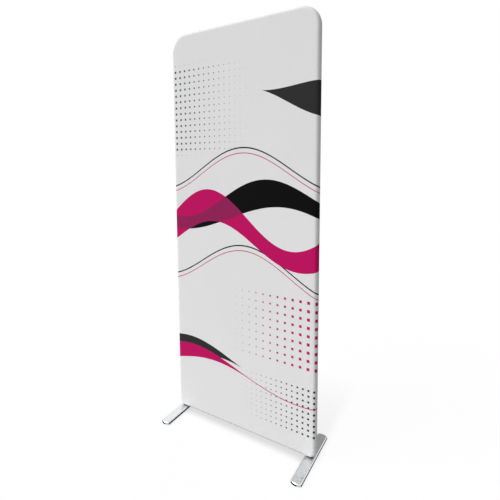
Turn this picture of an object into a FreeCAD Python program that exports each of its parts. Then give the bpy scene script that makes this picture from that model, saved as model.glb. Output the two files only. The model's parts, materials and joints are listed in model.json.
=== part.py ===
"""Fabric display stand: a stretch-fabric cover zipped over a plug-together tube frame on two flat feet.

Millimetres. X runs to the right, Y to the back and Z up. The origin is on the floor under the middle
of the panel. Left and right are those of a person who faces the printed front.
"""
import FreeCAD, Part
import Sketcher
import math
import os
import re

doc = FreeCAD.newDocument("display_stand")

# Driving dimensions
SIZES = {
    # Tube frame, measured on the tube axes
    "frame_width": 765.8,
    "frame_height": 1950.6,
    "tube_diameter": 32.0,
    "tube_wall": 1.5,
    "bow_bend_radius": 75.0,
    "bow_leg": 100.0,
    "elbow_inner_radius": 4.0,
    "elbow_collar": 12.0,
    # Spigots that join the tubes, with their rivets
    "spigot_reach": 60.0,
    "spigot_wall": 2.0,
    "spigot_gap": 0.2,
    "spigot_chamfer": 1.0,
    "rivet_setback": 30.0,
    "rivet_shank": 4.0,
    "rivet_head": 7.5,
    "rivet_crown": 4.5,
    "rivet_head_height": 1.3,
    "rivet_tail": 5.5,
    "rivet_tail_height": 1.8,
    "rivet_gap": 0.05,
    # Spring buttons that lock the tubes
    "button_setback": 30.0,
    "button_diameter": 8.0,
    "button_rim": 0.8,
    "button_proud": 3.0,
    "button_tip": 4.4,
    "button_flange": 11.0,
    "button_flange_thickness": 1.0,
    "button_gap": 0.2,
    "spring_width": 8.0,
    "spring_thickness": 0.8,
    "spring_rise": 10.0,
    "spring_tail": 8.0,
    "seat_gap": 0.1,
    # Feet
    "foot_inset": 13.0,
    "foot_width": 50.0,
    "foot_length": 340.0,
    "foot_thickness": 11.0,
    "foot_end_bulge": 9.0,
    "foot_corner_radius": 7.0,
    "foot_edge_radius": 6.0,
    "pad_width": 38.0,
    "pad_length": 56.0,
    "pad_thickness": 2.0,
    "pad_corner_radius": 6.0,
    "pad_setback": 14.0,
    "bush_diameter": 28.0,
    "bush_height": 2.0,
    "bush_bevel": 0.4,
    "screw_diameter": 8.0,
    "screw_head": 16.0,
    "screw_recess": 0.3,
    "screw_gap": 0.25,
    "screw_socket": 5.0,
    "screw_socket_depth": 3.0,
    "insert_diameter": 12.0,
    "insert_length": 14.0,
    "insert_gap": 0.05,
    "tip_room": 4.0,
    "boss_diameter": 18.0,
    "boss_proud": 0.2,
    # Cover
    "cover_thickness": 0.8,
    "cover_gap": 0.3,
    "seam_angle": 45.0,
    "boss_hole_gap": 0.4,
    # Zip across the back
    "zip_end_margin": 20.0,
    "zip_clearance": 8.0,
    "zip_opening": 10.0,
    "tape_width": 14.0,
    "tape_thickness": 0.6,
    "chain_width": 6.0,
    "chain_thickness": 2.4,
    "chain_bead": 1.4,
    "tooth_pitch": 8.0,
    "tooth_neck": 2.4,
    "tooth_head": 4.2,
    "tooth_gap": 0.2,
    "stop_length": 4.0,
    "slider_length": 14.0,
    "slider_nose": 10.0,
    "slider_tail": 8.0,
    "slider_plate": 1.6,
    "slider_gap": 0.4,
    "slider_post": 3.0,
    "bridge_bar": 1.8,
    "bridge_post": 1.4,
    "pull_eye": 3.8,
    "pull_eye_length": 5.0,
    "pull_gap": 0.3,
    "pull_width": 9.0,
    "pull_length": 30.0,
    "pull_thickness": 1.6,
    "pull_hole": 4.0,
    "pull_end_radius": 3.0,
    # How far a cut runs past what it cuts
    "overrun": 2.0,
}

# Places and sizes that follow from the driving dimensions
DERIVED = {
    "half_width": "frame_width / 2",
    "tube_radius": "tube_diameter / 2",
    "tube_bore": "tube_diameter - 2 * tube_wall",
    "spigot_diameter": "tube_bore - 2 * spigot_gap",
    "spigot_bore": "spigot_diameter - 2 * spigot_wall",
    "elbow_radius": "tube_radius + elbow_inner_radius",
    "elbow_reach": "elbow_radius + elbow_collar",
    "foot_top": "pad_thickness + foot_thickness",
    "boss_face": "foot_top + bush_height",
    "boss_drop": "cover_gap + cover_thickness + boss_proud",
    "rail_height": "boss_face + boss_drop + tube_radius",
    "top_height": "rail_height + frame_height",
    "upright_start": "rail_height + elbow_reach",
    "bow_start": "top_height - bow_bend_radius - bow_leg",
    "upright_length": "(bow_start - upright_start) / 2",
    "upright_joint": "upright_start + upright_length",
    "foot_axis": "half_width - foot_inset",
    "foot_end": "foot_length / 2",
    "foot_corner": "foot_end - foot_end_bulge",
    "foot_half_width": "foot_width / 2",
    "foot_end_radius": "(foot_half_width * foot_half_width / foot_end_bulge + foot_end_bulge) / 2",
    "screw_tip": "boss_face + insert_length",
    "button_radius": "button_diameter / 2",
    "button_hole": "button_diameter + 2 * button_gap",
    "rivet_hole": "rivet_shank + 2 * rivet_gap",
    "button_seat": "sqrt(spigot_bore * spigot_bore - button_flange * button_flange) / 2 - seat_gap",
    "button_back": "button_seat - button_flange_thickness",
    "button_top": "tube_radius + button_proud",
    "spring_seat": "sqrt(spigot_bore * spigot_bore - spring_width * spring_width) / 2 - seat_gap",
    "rivet_seat": "sqrt(spigot_bore * spigot_bore - rivet_tail * rivet_tail) / 2 - seat_gap",
    "cover_inner": "tube_radius + cover_gap",
    "cover_outer": "cover_inner + cover_thickness",
    "boss_hole": "boss_diameter + 2 * boss_hole_gap",
    "zip_length": "frame_width - 2 * zip_end_margin",
    "zip_height": "rail_height + tube_radius + zip_clearance + tape_width + chain_width / 2",
    "zip_depth": "cover_inner - tape_thickness / 2",
    "chain_room": "zip_length - 2 * stop_length - tooth_gap - slider_gap - slider_length / 2",
    "chain_length": "floor(chain_room / tooth_pitch) * tooth_pitch",
    "chain_middle": "chain_length / 2 + stop_length + tooth_gap - zip_length / 2",
    "chain_end": "chain_middle + chain_length / 2",
    "plate_inner": "chain_thickness / 2 + slider_gap",
    "plate_outer": "plate_inner + slider_plate",
    "bar_place": "plate_outer + pull_eye / 2 + pull_gap",
    "bridge_inner": "pull_eye_length / 2 + pull_gap",
    "bridge_outer": "bridge_inner + bridge_post",
}

sheet = doc.addObject("Spreadsheet::Sheet", "Sizes")
for row, (alias, number) in enumerate(SIZES.items(), start=1):
    sheet.set(f"A{row}", alias)
    sheet.set(f"B{row}", str(number))
    sheet.setAlias(f"B{row}", alias)
doc.recompute()

UPRIGHT = FreeCAD.Rotation()
HALF_TURN = FreeCAD.Rotation(FreeCAD.Vector(0, 0, 1), 180)
UPSIDE_DOWN = FreeCAD.Rotation(FreeCAD.Vector(0, 1, 0), 180)
RAIL_TO_RIGHT = FreeCAD.Rotation(FreeCAD.Vector(1, 0, 1), 180)
RAIL_TO_LEFT = FreeCAD.Rotation(FreeCAD.Vector(0, 1, 0), -90)
SIDES = {"left": ("-", UPRIGHT, RAIL_TO_RIGHT), "right": ("", HALF_TURN, RAIL_TO_LEFT)}
NEAR = 1e-4
HALF_CIRCLE = math.pi + NEAR
sub_parts = []


def spell(formula):
    """The formula with each named size written out as cells of the sheet."""
    def cell(match):
        name = match.group(0)
        if name in DERIVED:
            return "(" + spell(DERIVED[name]) + ")"
        return "Sizes." + name if name in SIZES else name
    return re.sub(r"[a-z_]+", cell, formula)


def value(formula):
    """The number that a formula of named sizes gives now."""
    return float(sheet.evalExpression(spell(formula)))


def place(piece, x="0", y="0", z="0", turn=UPRIGHT):
    """Puts a piece at a place given in named sizes."""
    piece.Placement = FreeCAD.Placement(FreeCAD.Vector(), turn)
    for axis, formula in zip("xyz", (x, y, z)):
        piece.setExpression("Placement.Base." + axis, spell(formula))
    return piece


def new_body(label):
    body = doc.addObject("PartDesign::Body", label)
    body.Label = label
    return body


def keep(piece, label):
    """Marks a piece as a sub-part that gets a file of its own."""
    piece.Label = label
    sub_parts.append(piece)
    return piece


def group(label, pieces):
    """Several separate solids of one kind in one sub-part."""
    compound = doc.addObject("Part::Compound", label)
    compound.Links = pieces
    return keep(compound, label)


def sketch_on(body, role, offset="0"):
    """An empty sketch on one of the body's own planes, moved along the plane's normal."""
    sketch = body.newObject("Sketcher::SketchObject", body.Label + "_sketch")
    plane = next(item for item in body.Origin.OriginFeatures if item.Role == role)
    sketch.AttachmentSupport = (plane, [""])
    sketch.MapMode = "FlatFace"
    sketch.setExpression("AttachmentOffset.Base.z", spell(offset))
    return sketch


def bind(sketch, constraint, formula):
    """Adds a constraint whose size follows a formula."""
    number = sketch.addConstraint(constraint)
    sketch.setExpression(f"Constraints[{number}]", spell(formula))


def pin(sketch, geometry, end, x, y):
    """Ties a point of the sketch to its place from the sketch's origin."""
    for kind, axis, formula in (("DistanceX", -2, x), ("DistanceY", -1, y)):
        if formula == "0":
            sketch.addConstraint(Sketcher.Constraint("PointOnObject", geometry, end, axis))
        else:
            limits = (kind, -1, 1, geometry, end, value(formula))
            bind(sketch, Sketcher.Constraint(*limits), formula)


def circle(sketch, diameter, x="0", y="0"):
    centre = FreeCAD.Vector(value(x), value(y), 0)
    shape = Part.Circle(centre, FreeCAD.Vector(0, 0, 1), value(diameter) / 2)
    geometry = sketch.addGeometry(shape)
    bind(sketch, Sketcher.Constraint("Diameter", geometry, value(diameter)), diameter)
    pin(sketch, geometry, 3, x, y)
    return sketch


def ring(sketch, outer, inner):
    circle(sketch, outer)
    return circle(sketch, inner)


def outline(sketch, corners, closed=True):
    """Lines and arcs through the corners; a corner's third item is the centre of the arc that leaves it."""
    points = [FreeCAD.Vector(value(corner[0]), value(corner[1]), 0) for corner in corners]
    count = len(corners) if closed else len(corners) - 1
    ends = []
    for index in range(count):
        start = points[index]
        stop = points[(index + 1) % len(points)]
        if len(corners[index]) == 2:
            geometry = sketch.addGeometry(Part.LineSegment(start, stop))
            ends.append((geometry, 1, 2))
        else:
            ends.append(add_arc(sketch, start, stop, corners[index][2]))
    for index, (geometry, first, last) in enumerate(ends):
        pin(sketch, geometry, first, *corners[index][:2])
        if index + 1 < count or closed:
            following, head, _ = ends[(index + 1) % count]
            sketch.addConstraint(Sketcher.Constraint("Coincident", geometry, last, following, head))
        else:
            pin(sketch, geometry, last, *corners[-1][:2])
    return sketch


def add_arc(sketch, start, stop, middle):
    """The shorter arc between two points about a centre given as (x, y, which coordinate is tied)."""
    centre = FreeCAD.Vector(value(middle[0]), value(middle[1]), 0)
    first = math.atan2(start.y - centre.y, start.x - centre.x)
    last = math.atan2(stop.y - centre.y, stop.x - centre.x)
    forward = (last - first) % (2 * math.pi) <= HALF_CIRCLE
    span = (first, last) if forward else (last, first)
    full = Part.Circle(centre, FreeCAD.Vector(0, 0, 1), (start - centre).Length)
    geometry = sketch.addGeometry(Part.ArcOfCircle(full, *span))
    kind, axis, formula = (("DistanceX", -2, middle[0]), ("DistanceY", -1, middle[1]))["xy".index(middle[2])]
    if formula == "0":
        sketch.addConstraint(Sketcher.Constraint("PointOnObject", geometry, 3, axis))
    else:
        bind(sketch, Sketcher.Constraint(kind, -1, 1, geometry, 3, value(formula)), formula)
    return (geometry, 1, 2) if forward else (geometry, 2, 1)


def box_corners(left, bottom, right, top):
    return [(left, bottom), (right, bottom), (right, top), (left, top)]


def pad(body, sketch, length, symmetric=False, back=False):
    feature = body.newObject("PartDesign::Pad", body.Label + "_pad")
    feature.Profile = sketch
    feature.setExpression("Length", spell(length))
    feature.SideType = "Symmetric" if symmetric else "One side"
    feature.Reversed = back
    doc.recompute()
    return feature


def pocket(body, sketch, length, symmetric=False, along=False):
    """Cuts the sketch against its plane's normal, or along it, and makes sure that it cuts something."""
    before = body.Shape.Volume
    feature = body.newObject("PartDesign::Pocket", body.Label + "_pocket")
    feature.Profile = sketch
    feature.setExpression("Length", spell(length))
    feature.SideType = "Symmetric" if symmetric else "One side"
    feature.Reversed = along
    doc.recompute()
    if body.Shape.Volume >= before:
        raise ValueError("a pocket of " + body.Label + " cuts nothing")
    return feature


def revolve(body, sketch, axis):
    feature = body.newObject("PartDesign::Revolution", body.Label + "_revolution")
    feature.Profile = sketch
    feature.ReferenceAxis = (sketch, [axis])
    doc.recompute()
    return feature


def groove(body, sketch, axis):
    before = body.Shape.Volume
    feature = body.newObject("PartDesign::Groove", body.Label + "_groove")
    feature.Profile = sketch
    feature.ReferenceAxis = (sketch, [axis])
    doc.recompute()
    if body.Shape.Volume >= before:
        raise ValueError("a groove of " + body.Label + " cuts nothing")
    return feature


def pipe(body, profile, path):
    feature = body.newObject("PartDesign::AdditivePipe", body.Label + "_pipe")
    feature.Profile = profile
    feature.Spine = path
    doc.recompute()
    return feature


def is_near(number, other):
    return abs(number - other) < NEAR


def runs_along(edge, direction):
    """Whether an edge is straight and runs in a direction of length one."""
    ends = edge.lastVertex().Point - edge.firstVertex().Point
    return is_near(abs(ends.dot(direction)), edge.Length)


def soften(body, kind, size, chosen):
    """Fillets or chamfers the edges of the body's last feature that the test picks."""
    last = body.Tip
    names = [f"Edge{n}" for n, edge in enumerate(last.Shape.Edges, start=1) if chosen(edge)]
    feature = body.newObject("PartDesign::" + kind, body.Label + "_" + kind.lower())
    feature.Base = (last, names)
    feature.setExpression("Radius" if kind == "Fillet" else "Size", spell(size))
    doc.recompute()
    return feature


# Tube frame
def straight_tube(label, length, button_places=(), rivet_places=()):
    """A tube along its own Z whose holes open towards its own X."""
    body = new_body(label)
    pad(body, ring(sketch_on(body, "XY_Plane"), "tube_diameter", "tube_bore"), length)
    for height in button_places:
        side_hole(body, "button_hole", height)
    for height in rivet_places:
        side_hole(body, "rivet_hole", height)
    return keep(body, label)


def side_hole(body, diameter, height):
    """A round hole through the wall on the body's own +X side."""
    hole = circle(sketch_on(body, "YZ_Plane"), diameter, "0", height)
    return pocket(body, hole, "tube_radius + overrun", along=True)


def uprights():
    for side, (sign, turn, _) in SIDES.items():
        lower = straight_tube(side + "_lower_upright", "upright_length", ["button_setback"],
                              ["upright_length - rivet_setback"])
        place(lower, sign + "half_width", "0", "upright_start", turn)
        upper = straight_tube(side + "_upper_upright", "upright_length", ["button_setback"],
                              ["upright_length - rivet_setback"])
        place(upper, sign + "half_width", "0", "upright_joint", turn)


def bottom_rail():
    length = "frame_width - 2 * elbow_reach"
    rail = straight_tube("bottom_rail", length, ["button_setback", length + " - button_setback"])
    place(rail, "half_width - elbow_reach", "0", "rail_height", RAIL_TO_LEFT)


def top_bow():
    """One tube bent twice, open at the lower ends of its legs."""
    body = new_body("top_bow")
    bend = "half_width - bow_bend_radius"
    rise = "bow_leg + bow_bend_radius"
    path = outline(sketch_on(body, "XZ_Plane"), [
        ("-half_width", "0"),
        ("-half_width", "bow_leg", ("-(" + bend + ")", "bow_leg", "x")),
        ("-(" + bend + ")", rise),
        (bend, rise, (bend, "bow_leg", "x")),
        ("half_width", "bow_leg"),
        ("half_width", "0"),
    ], closed=False)
    profile = sketch_on(body, "XY_Plane")
    circle(profile, "tube_diameter", "-half_width")
    circle(profile, "tube_bore", "-half_width")
    pipe(body, profile, path)
    hole = circle(sketch_on(body, "YZ_Plane"), "button_hole", "0", "button_setback")
    pocket(body, hole, "frame_width", symmetric=True)
    place(keep(body, "top_bow"), "0", "0", "bow_start")


def corner_elbows():
    """Castings with a spigot up into the upright, one along into the rail, and a boss for the foot."""
    for side, (sign, turn, _) in SIDES.items():
        body = new_body(side + "_corner_elbow")
        path = outline(sketch_on(body, "XZ_Plane"), [
            ("0", "elbow_reach"),
            ("0", "elbow_radius", ("elbow_radius", "elbow_radius", "x")),
            ("elbow_radius", "0"),
            ("elbow_reach", "0"),
        ], closed=False)
        pipe(body, circle(sketch_on(body, "XY_Plane", "elbow_reach"), "tube_diameter"), path)
        foot_boss(body)
        for role, axis in (("XY_Plane", "YZ_Plane"), ("YZ_Plane", "XY_Plane")):
            elbow_spigot(body, role, axis)
        foot_socket(body)
        place(keep(body, body.Label), sign + "half_width", "0", "rail_height", turn)


def elbow_spigot(body, role, hole_role):
    """A hollow spigot square to one plane, with a button hole through its inward wall."""
    end = "elbow_reach + spigot_reach"
    pad(body, circle(sketch_on(body, role, "elbow_reach"), "spigot_diameter"), "spigot_reach")
    pocket(body, circle(sketch_on(body, role, end), "spigot_bore"), "spigot_reach")
    across = "elbow_reach + button_setback"
    spot = ("0", across) if hole_role == "YZ_Plane" else (across, "0")
    pocket(body, circle(sketch_on(body, hole_role), "button_hole", *spot), "tube_radius", along=True)


def foot_boss(body):
    """A round seat under the bend, level with the hole in the cover."""
    seat = circle(sketch_on(body, "XY_Plane", "-tube_radius - boss_drop"), "boss_diameter", "foot_inset")
    pad(body, seat, "tube_radius + boss_drop")


def foot_socket(body):
    """The bore for the threaded insert, with room above it for the screw's tip."""
    face = "-tube_radius - boss_drop"
    insert = circle(sketch_on(body, "XY_Plane", face), "insert_diameter + 2 * insert_gap", "foot_inset")
    pocket(body, insert, "insert_length", along=True)
    tip = circle(sketch_on(body, "XY_Plane", face), "screw_diameter + 2 * screw_gap", "foot_inset")
    pocket(body, tip, "insert_length + tip_room", along=True)


# Couplings
def tube_spigots():
    """Sleeves riveted into the top of each upright, standing up into the tube above."""
    for side, (sign, turn, _) in SIDES.items():
        for name, height in (("_mid_spigot", "upright_joint"), ("_top_spigot", "bow_start")):
            body = new_body(side + name)
            section = ring(sketch_on(body, "XY_Plane"), "spigot_diameter", "spigot_bore")
            pad(body, section, "2 * spigot_reach", symmetric=True)
            rim = value("spigot_diameter") * math.pi
            soften(body, "Chamfer", "spigot_chamfer", lambda edge: is_near(edge.Length, rim))
            side_hole(body, "button_hole", "button_setback")
            side_hole(body, "rivet_hole", "-rivet_setback")
            place(keep(body, body.Label), sign + "half_width", "0", height, turn)


def coupling_places():
    """Name, place and turn of each of the eight spring buttons."""
    for side, (sign, turn, rail_turn) in SIDES.items():
        column = sign + "half_width"
        yield side + "_lower", column, "upright_start + button_setback", turn
        yield side + "_mid", column, "upright_joint + button_setback", turn
        yield side + "_top", column, "bow_start + button_setback", turn
        along = sign + "(half_width - elbow_reach - button_setback)"
        yield side + "_rail", along, "rail_height", rail_turn


def snap_button(label):
    """A blunt-nosed pin with a flange inside the spigot, turned about its own X."""
    body = new_body(label)
    section = outline(sketch_on(body, "XZ_Plane"), [
        ("button_back", "0"),
        ("button_back", "button_flange / 2"),
        ("button_seat", "button_flange / 2"),
        ("button_seat", "button_radius"),
        ("tube_radius + button_rim", "button_radius"),
        ("button_top", "button_tip / 2"),
        ("button_top", "0"),
    ])
    revolve(body, section, "H_Axis")
    return keep(body, label)


def snap_spring(label):
    """A hairpin leaf: one leg behind the button, the other on the far wall of the spigot."""
    body = new_body(label)
    middle = "(button_back - spring_seat) / 2"
    leaf = outline(sketch_on(body, "XZ_Plane"), [
        ("button_back", "-spring_tail"),
        ("button_back", "spring_rise", (middle, "spring_rise", "y")),
        ("-spring_seat", "spring_rise"),
        ("-spring_seat", "-spring_tail"),
        ("spring_thickness - spring_seat", "-spring_tail"),
        ("spring_thickness - spring_seat", "spring_rise", (middle, "spring_rise", "y")),
        ("button_back - spring_thickness", "spring_rise"),
        ("button_back - spring_thickness", "-spring_tail"),
    ])
    pad(body, leaf, "spring_width", symmetric=True)
    return keep(body, label)


def spring_buttons():
    for name, x, z, turn in coupling_places():
        place(snap_button(name + "_button"), x, "0", z, turn)
        place(snap_spring(name + "_spring"), x, "0", z, turn)


def rivet(label):
    """A blind rivet about its own X: bevelled head outside the tube, tail inside the spigot."""
    body = new_body(label)
    crown = "tube_radius + rivet_head_height"
    section = outline(sketch_on(body, "XZ_Plane"), [
        ("rivet_seat - rivet_tail_height", "0"),
        ("rivet_seat - rivet_tail_height", "rivet_tail / 2"),
        ("rivet_seat", "rivet_tail / 2"),
        ("rivet_seat", "rivet_shank / 2"),
        ("tube_radius", "rivet_shank / 2"),
        ("tube_radius", "rivet_head / 2"),
        (crown, "rivet_crown / 2"),
        (crown, "0"),
    ])
    revolve(body, section, "H_Axis")
    return body


def spigot_rivets():
    rivets = []
    for side, (sign, turn, _) in SIDES.items():
        for name, height in (("_mid_rivet", "upright_joint"), ("_top_rivet", "bow_start")):
            middle = height + " - rivet_setback"
            rivets.append(place(rivet(side + name), sign + "half_width", "0", middle, turn))
    group("spigot_rivets", rivets)


# Feet
def foot_plates():
    """Flat bars with arched ends, rounded upper edges and a countersunk hole from below."""
    for side, (sign, _, _) in SIDES.items():
        body = new_body(side + "_foot_plate")
        centre = "foot_end - foot_end_radius"
        bar = outline(sketch_on(body, "XY_Plane", "pad_thickness"), [
            ("foot_half_width", "-foot_corner"),
            ("foot_half_width", "foot_corner", ("0", centre, "y")),
            ("-foot_half_width", "foot_corner"),
            ("-foot_half_width", "-foot_corner", ("0", "-(" + centre + ")", "y")),
        ])
        pad(body, bar, "foot_thickness")
        soften(body, "Fillet", "foot_corner_radius", is_upright_edge)
        top = value("foot_top")
        soften(body, "Fillet", "foot_edge_radius", lambda edge: is_near(edge.CenterOfMass.z, top))
        groove(body, countersink(body), "V_Axis")
        place(keep(body, body.Label), sign + "foot_axis")


def is_upright_edge(edge):
    return runs_along(edge, FreeCAD.Vector(0, 0, 1))


def countersink(body):
    """The way for the screw through the bar, with a cone for its head at the underside."""
    mouth = "pad_thickness + screw_recess"
    wide = "screw_head / 2 + screw_gap"
    narrow = "screw_diameter / 2 + screw_gap"
    return outline(sketch_on(body, "XZ_Plane"), [
        ("0", "pad_thickness - overrun"),
        (wide, "pad_thickness - overrun"),
        (wide, mouth),
        (narrow, mouth + " + (screw_head - screw_diameter) / 2"),
        (narrow, "foot_top + overrun"),
        ("0", "foot_top + overrun"),
    ])


def foot_pads():
    for side, (sign, _, _) in SIDES.items():
        pads = []
        for end, way in (("_front", "-"), ("_rear", "")):
            body = new_body(side + end + "_pad")
            middle = way + "(foot_end - pad_setback - pad_length / 2)"
            rectangle = box_corners("-pad_width / 2", middle + " - pad_length / 2",
                                    "pad_width / 2", middle + " + pad_length / 2")
            pad(body, outline(sketch_on(body, "XY_Plane"), rectangle), "pad_thickness")
            soften(body, "Fillet", "pad_corner_radius", is_upright_edge)
            pads.append(place(body, sign + "foot_axis"))
        group(side + "_foot_pads", pads)


def foot_bushes():
    for side, (sign, _, _) in SIDES.items():
        body = new_body(side + "_foot_bush")
        bore = "screw_diameter + 2 * screw_gap"
        pad(body, ring(sketch_on(body, "XY_Plane", "foot_top"), "bush_diameter", bore), "bush_height")
        rim = value("bush_diameter") * math.pi
        soften(body, "Chamfer", "bush_bevel", lambda edge: is_near(edge.Length, rim))
        place(keep(body, body.Label), sign + "foot_axis")


def foot_screws():
    screws = []
    for side, (sign, _, _) in SIDES.items():
        body = new_body(side + "_foot_screw")
        underside = "pad_thickness + screw_recess"
        section = outline(sketch_on(body, "XZ_Plane"), [
            ("0", underside),
            ("screw_head / 2", underside),
            ("screw_diameter / 2", underside + " + (screw_head - screw_diameter) / 2"),
            ("screw_diameter / 2", "screw_tip"),
            ("0", "screw_tip"),
        ])
        revolve(body, section, "V_Axis")
        socket = hexagon(sketch_on(body, "XY_Plane", underside), "screw_socket")
        pocket(body, socket, "screw_socket_depth", along=True)
        screws.append(place(body, sign + "foot_axis"))
    group("foot_screws", screws)


def hexagon(sketch, across):
    """A six-sided socket with the given width across its flats."""
    half = across + " / 2"
    corner = across + " / sqrt(3)"
    return outline(sketch, [
        (corner, "0"), (corner + " / 2", half), ("-" + corner + " / 2", half),
        ("-" + corner, "0"), ("-" + corner + " / 2", "-" + half), (corner + " / 2", "-" + half),
    ])


def foot_inserts():
    inserts = []
    for side, (sign, _, _) in SIDES.items():
        body = new_body(side + "_foot_insert")
        bore = "screw_diameter + 2 * insert_gap"
        section = ring(sketch_on(body, "XY_Plane", "boss_face"), "insert_diameter", bore)
        pad(body, section, "insert_length")
        inserts.append(place(body, sign + "foot_axis"))
    group("foot_inserts", inserts)


# Cover
def cover_loop(sketch):
    """The frame's centre line as a closed loop, from the middle of the right-hand upright."""
    low = "half_width - elbow_radius"
    high = "half_width - bow_bend_radius"
    low_bend = "rail_height + elbow_radius"
    high_bend = "top_height - bow_bend_radius"
    return outline(sketch, [
        ("half_width", "upright_joint"),
        ("half_width", high_bend, (high, high_bend, "x")),
        (high, "top_height"),
        ("-(" + high + ")", "top_height", ("-(" + high + ")", high_bend, "x")),
        ("-half_width", high_bend),
        ("-half_width", low_bend, ("-(" + low + ")", low_bend, "x")),
        ("-(" + low + ")", "rail_height"),
        (low, "rail_height", (low, low_bend, "x")),
        ("half_width", low_bend),
    ])


def wrapped_cover(body, first, last, sheet_face):
    """A flat sheet with the edge that wraps round the tubes between two directions about the tube."""
    axis = ("half_width", "0", "x")
    section = outline(sketch_on(body, "XY_Plane", "upright_joint"), [
        ("half_width + cover_outer * " + first[0], "cover_outer * " + first[1], axis),
        ("half_width + cover_outer * " + last[0], "cover_outer * " + last[1]),
        ("half_width + cover_inner * " + last[0], "cover_inner * " + last[1], axis),
        ("half_width + cover_inner * " + first[0], "cover_inner * " + first[1]),
    ])
    pipe(body, section, cover_loop(sketch_on(body, "XZ_Plane")))
    pad(body, cover_loop(sketch_on(body, "XZ_Plane", sheet_face)), "cover_thickness")


SEAM = ("cos(seam_angle)", "sin(seam_angle)")
FRONT = ("0", "(-1)")
BACK = ("0", "1")


def front_panel():
    """The printed front, round the tubes to the seam behind them, with holes for the foot bosses."""
    body = new_body("front_panel")
    wrapped_cover(body, FRONT, SEAM, "cover_inner")
    for sign, _, _ in SIDES.values():
        hole = circle(sketch_on(body, "XY_Plane"), "boss_hole", sign + "foot_axis")
        pocket(body, hole, "rail_height", along=True)
    place(keep(body, "front_panel"))


def back_panel():
    back_cover("back_panel", "-overrun", "+ zip_opening / 2")


def bottom_flap():
    back_cover("bottom_flap", "top_height + cover_outer + overrun", "- zip_opening / 2")


def back_cover(label, far_edge, setback):
    """The back of the cover on one side of the zip, cut back where the zip shows."""
    body = new_body(label)
    wrapped_cover(body, SEAM, BACK, "-cover_outer")
    outside = "half_width + cover_outer + overrun"
    mouth = "zip_height " + setback
    waste = outline(sketch_on(body, "XZ_Plane"), [
        ("-(" + outside + ")", far_edge),
        (outside, far_edge),
        (outside, "zip_height"),
        ("zip_length / 2", "zip_height"),
        ("zip_length / 2", mouth),
        ("-zip_length / 2", mouth),
        ("-zip_length / 2", "zip_height"),
        ("-(" + outside + ")", "zip_height"),
    ])
    pocket(body, waste, "2 * (cover_outer + overrun)", symmetric=True)
    place(keep(body, label))


# Zip
def zip_tapes():
    for name, turn in (("zip_upper_tape", UPRIGHT), ("zip_lower_tape", UPSIDE_DOWN)):
        body = new_body(name)
        edge = "chain_width / 2"
        strip = box_corners("-zip_length / 2", edge, "zip_length / 2", edge + " + tape_width")
        pad(body, outline(sketch_on(body, "XZ_Plane"), strip), "tape_thickness", symmetric=True)
        place(keep(body, name), "0", "zip_depth", "zip_height", turn)


def zip_teeth():
    """Each side of the chain: a bead along the tape with teeth whose heads catch behind the other side's."""
    for name, turn in (("zip_upper_teeth", UPRIGHT), ("zip_lower_teeth", UPSIDE_DOWN)):
        body = new_body(name)
        inner = "chain_width / 2 - chain_bead"
        bead = box_corners("-chain_length / 2", inner, "chain_length / 2", "chain_width / 2")
        pad(body, outline(sketch_on(body, "XZ_Plane"), bead), "chain_thickness", symmetric=True)
        tooth = outline(sketch_on(body, "XZ_Plane"), tooth_outline(inner))
        first = pad(body, tooth, "chain_thickness", symmetric=True)
        repeat_along(body, first, "chain_length - tooth_pitch", "chain_length / tooth_pitch")
        place(keep(body, name), "chain_middle", "zip_depth", "zip_height", turn)


def tooth_outline(root):
    """The first tooth, a quarter pitch from the end: a narrow neck and a wider head past the middle."""
    middle = "tooth_pitch / 4 - chain_length / 2"
    tip = "tooth_gap - (" + root + ")"
    half_neck = "tooth_neck / 2"
    half_head = "tooth_head / 2"
    return [
        (middle + " - " + half_neck, root),
        (middle + " - " + half_neck, "0"),
        (middle + " - " + half_head, "-tooth_gap"),
        (middle + " - " + half_head, tip),
        (middle + " + " + half_head, tip),
        (middle + " + " + half_head, "-tooth_gap"),
        (middle + " + " + half_neck, "0"),
        (middle + " + " + half_neck, root),
    ]


def repeat_along(body, feature, length, count):
    pattern = body.newObject("PartDesign::LinearPattern", body.Label + "_pattern")
    pattern.Originals = [feature]
    axis = next(item for item in body.Origin.OriginFeatures if item.Role == "X_Axis")
    pattern.Direction = (axis, [""])
    pattern.setExpression("Length", spell(length))
    pattern.setExpression("Occurrences", spell("round(" + count + ")"))
    body.Tip = pattern
    doc.recompute()
    return pattern


def zip_slider():
    """Two plates joined by a post ahead of the teeth, with a bridge that carries the pull."""
    body = new_body("zip_slider")
    end = "slider_length / 2"
    plate = [
        ("-" + end, "-slider_tail / 2"),
        ("0", "-slider_nose / 2"),
        (end, "-slider_nose / 2"),
        (end, "slider_nose / 2"),
        ("0", "slider_nose / 2"),
        ("-" + end, "slider_tail / 2"),
    ]
    post = [
        ("slider_gap", "0"),
        (end + " / 2", "-slider_post / 2"),
        (end, "-slider_post / 2"),
        (end, "slider_post / 2"),
        (end + " / 2", "slider_post / 2"),
    ]
    pad(body, outline(sketch_on(body, "XZ_Plane", "-plate_outer"), plate), "slider_plate")
    pad(body, outline(sketch_on(body, "XZ_Plane"), post), "plate_inner + plate_outer", symmetric=True)
    pad(body, outline(sketch_on(body, "XZ_Plane", "plate_inner"), plate), "slider_plate")
    for way in ("-", ""):
        crest = "bar_place + bridge_bar / 2"
        leg = box_corners(way + "bridge_inner", "plate_inner", way + "bridge_outer", crest)
        pad(body, outline(sketch_on(body, "XY_Plane"), leg), "bridge_bar", symmetric=True)
    bar = circle(sketch_on(body, "YZ_Plane"), "bridge_bar", "bar_place")
    pad(body, bar, "2 * bridge_outer", symmetric=True)
    place(keep(body, "zip_slider"), "chain_end", "zip_depth", "zip_height")


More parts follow.
